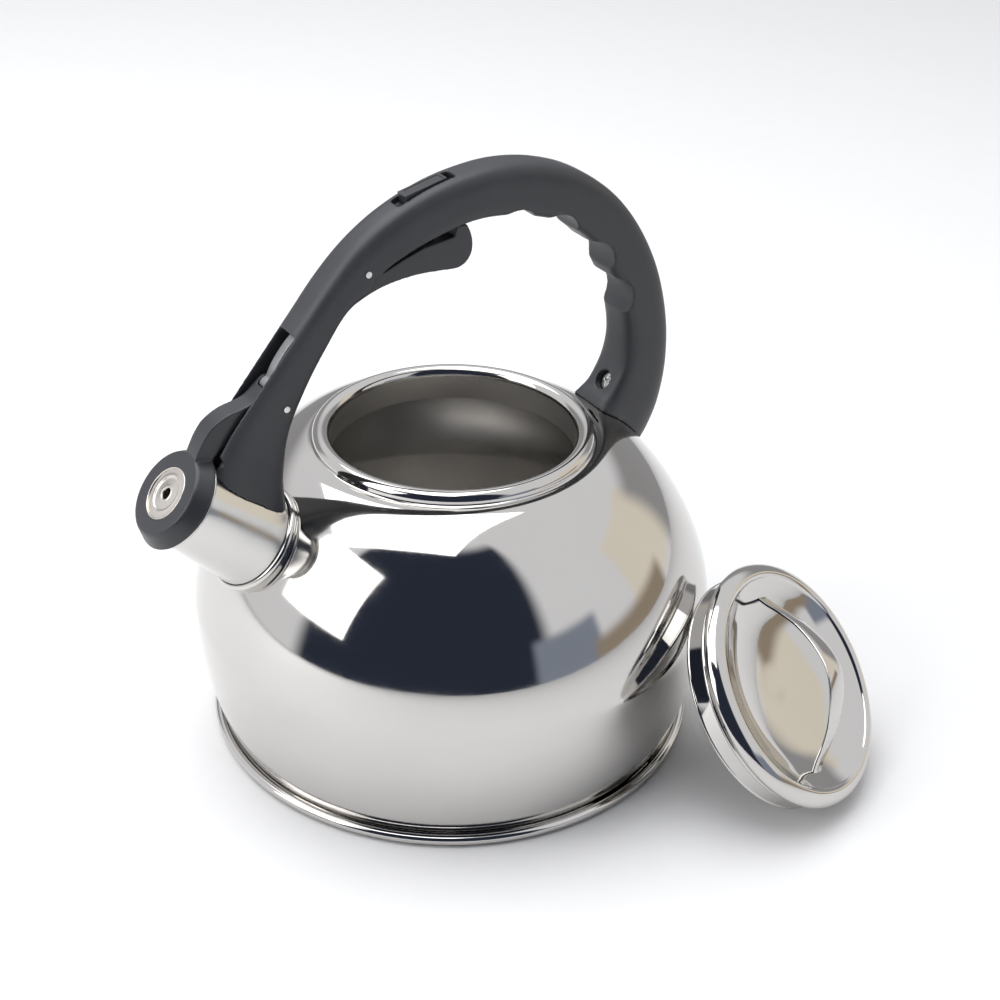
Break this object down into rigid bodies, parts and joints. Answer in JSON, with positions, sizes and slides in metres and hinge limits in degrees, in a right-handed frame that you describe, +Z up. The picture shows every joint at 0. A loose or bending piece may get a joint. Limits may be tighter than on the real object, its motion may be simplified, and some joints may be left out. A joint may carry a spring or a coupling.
{
  "type": "stovetop whistling kettle",
  "caption": "Spun steel stovetop kettle with a plastic arch handle, a trigger-worked whistle cap on its short spout and a lift-off lid leaning against it.",
  "frame": {"origin": "on the body axis where the base meets the stove", "axes": "+Z up the body axis, the spout points along -X, the handle lies in the XZ plane"},
  "size_m": [0.2624, 0.2556, 0.233],
  "materials": {
    "polished_steel": "mirror polished stainless",
    "satin_steel": "satin stainless",
    "whistle_steel": "fine turned stainless",
    "link_steel": "dull zinc plated strip",
    "disc_aluminium": "plain",
    "handle_plastic": "fine matt moulded nylon",
    "cap_plastic": "satin moulded nylon",
    "seal_rubber": "silicone"
  },
  "bodies": {
    "kettle": {"body_shell": "polished_steel", "base_pan": "polished_steel", "heat_disc": "disc_aluminium", "disc_cover": "satin_steel", "spout_tube": "satin_steel", "spout_collar": "polished_steel", "front_bracket": "satin_steel", "rear_bracket": "satin_steel", "handle": "handle_plastic", "front_screw": "satin_steel", "rear_screw": "satin_steel", "trigger_pin": "satin_steel", "lever_pin": "satin_steel", "trigger_spring": "satin_steel", "slide_spring": "satin_steel"},
    "trigger": {"trigger": "handle_plastic", "link_pin": "satin_steel"},
    "link": {"link_rod": "link_steel"},
    "cap": {"cap_lever": "cap_plastic", "crank_pin": "satin_steel", "whistle_cup": "whistle_steel", "whistle_face": "whistle_steel", "whistle_reed": "whistle_steel", "cap_seal": "seal_rubber"},
    "slide": {"thumb_slide": "cap_plastic"},
    "lid": {"lid_shell": "polished_steel", "lid_skirt": "polished_steel", "lid_strap": "polished_steel"}
  },
  "joints": [
    {"name": "trigger_squeeze", "type": "hinge", "parent": "kettle", "child": "trigger", "pos_m": [-0.0406, 0, 0.2031], "axis": [0, 1, 0], "range_deg": [-12, 0], "stiffness_Nm_per_rad": 0.06, "springref_deg": 14.32, "deforming": ["trigger_spring"]},
    {"name": "link_swing", "type": "hinge", "parent": "trigger", "child": "link", "pos_m": [-0.0191, 0, 0.2011], "axis": [0, 1, 0], "range_deg": [0, 8]},
    {"name": "cap_swing", "type": "hinge", "parent": "kettle", "child": "cap", "pos_m": [-0.0745, 0, 0.1585], "axis": [0, 1, 0], "range_deg": [0, 23]},
    {"name": "slide_travel", "type": "slide", "parent": "kettle", "child": "slide", "axis": [0.9703, 0, 0.2419], "range_m": [-0.003, 0.003]},
    {"name": "lid_lift", "type": "slide", "parent": "kettle", "child": "lid", "axis": [0, 0, 1], "range_m": [0, 0.06]}
  ],
  "couplings": [
    {"joint": "link_swing", "follows": "trigger_squeeze", "ratio": -0.6524},
    {"joint": "cap_swing", "follows": "trigger_squeeze", "ratio": -1.9}
  ]
}
